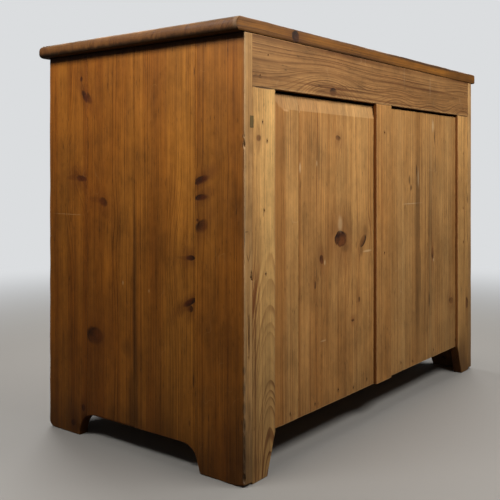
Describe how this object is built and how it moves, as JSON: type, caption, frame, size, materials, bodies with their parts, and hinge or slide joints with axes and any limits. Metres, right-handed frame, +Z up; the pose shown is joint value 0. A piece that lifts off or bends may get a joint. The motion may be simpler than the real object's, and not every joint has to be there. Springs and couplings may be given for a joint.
{
  "type": "low two-door cupboard",
  "caption": "Low old-pine cupboard on feet cut from its sides, with a framed and panelled back and a pair of fielded-panel doors over a shelf.",
  "frame": {"origin": "on the floor, under the middle of the whole object's box, which runs from the front of the door knobs to the back edge of the top", "axes": "+X along the width towards the right-hand side as seen from the front, +Y towards the back, +Z up; the doors face -Y"},
  "size_m": [1.174, 0.626, 0.9],
  "materials": {
    "side_pine": "old waxed pine, warm brown, satin",
    "back_pine": "old stripped pine, honey coloured, low sheen",
    "top_pine": "old waxed pine, brown, satin",
    "front_pine": "old waxed pine, honey brown, satin",
    "inside_pine": "bare planed pine, pale and dry",
    "knob_wood": "turned wood, waxed dark brown",
    "iron": "dull dark iron",
    "brass": "dull old brass"
  },
  "bodies": {
    "carcass": {"top_front_board": "top_pine", "top_middle_board": "top_pine", "top_rear_board": "top_pine", "right_side_front_board": "side_pine", "right_side_front_middle_board": "side_pine", "right_side_rear_board": "side_pine", "right_side_rear_middle_board": "side_pine", "left_side_front_board": "side_pine", "left_side_front_middle_board": "side_pine", "left_side_rear_board": "side_pine", "left_side_rear_middle_board": "side_pine", "floor_front_board": "inside_pine", "floor_rear_board": "inside_pine", "back_top_rail": "back_pine", "back_right_stile": "back_pine", "back_left_stile": "back_pine", "back_muntin": "back_pine", "back_right_panel_outer_board": "back_pine", "back_right_panel_inner_board": "back_pine", "back_left_panel_inner_board": "back_pine", "back_left_panel_outer_board": "back_pine", "shelf_front_board": "inside_pine", "shelf_rear_board": "inside_pine", "shelf_right_cleat": "inside_pine", "shelf_left_cleat": "inside_pine", "front_right_stile": "front_pine", "front_left_stile": "front_pine", "front_top_rail": "front_pine", "front_apron": "front_pine", "apron_right_block": "inside_pine", "apron_left_block": "inside_pine", "bolt_keep": "brass", "left_upper_hinge_frame_leaf": "iron", "left_upper_hinge_pin": "iron", "left_lower_hinge_frame_leaf": "iron", "left_lower_hinge_pin": "iron", "right_upper_hinge_frame_leaf": "iron", "right_upper_hinge_pin": "iron", "right_lower_hinge_frame_leaf": "iron", "right_lower_hinge_pin": "iron"},
    "left_door": {"left_door_hinge_stile": "front_pine", "left_door_meeting_stile": "front_pine", "left_door_top_rail": "front_pine", "left_door_bottom_rail": "front_pine", "left_door_panel": "front_pine", "left_door_knob": "knob_wood", "left_upper_hinge_door_leaf": "iron", "left_lower_hinge_door_leaf": "iron", "bolt_plate": "brass"},
    "right_door": {"right_door_hinge_stile": "front_pine", "right_door_meeting_stile": "front_pine", "right_door_top_rail": "front_pine", "right_door_bottom_rail": "front_pine", "right_door_panel": "front_pine", "right_upper_hinge_door_leaf": "iron", "right_lower_hinge_door_leaf": "iron"},
    "catch": {"right_door_knob": "knob_wood", "catch_tongue": "knob_wood"},
    "bolt": {"bolt_rod": "brass"}
  },
  "joints": [
    {"name": "left_door_hinge", "type": "hinge", "parent": "carcass", "child": "left_door", "pos_m": [-0.4757, -0.2838, 0.0985], "axis": [0, 0, -1], "range_deg": [0, 170]},
    {"name": "right_door_hinge", "type": "hinge", "parent": "carcass", "child": "right_door", "pos_m": [0.4757, -0.2838, 0.0985], "axis": [0, 0, 1], "range_deg": [0, 170]},
    {"name": "catch_turn", "type": "hinge", "parent": "right_door", "child": "catch", "pos_m": [0.036, -0.279, 0.5], "axis": [0, 1, 0], "range_deg": [0, 90]},
    {"name": "bolt_slide", "type": "slide", "parent": "left_door", "child": "bolt", "axis": [0, 0, 1], "range_m": [0, 0.022]}
  ]
}
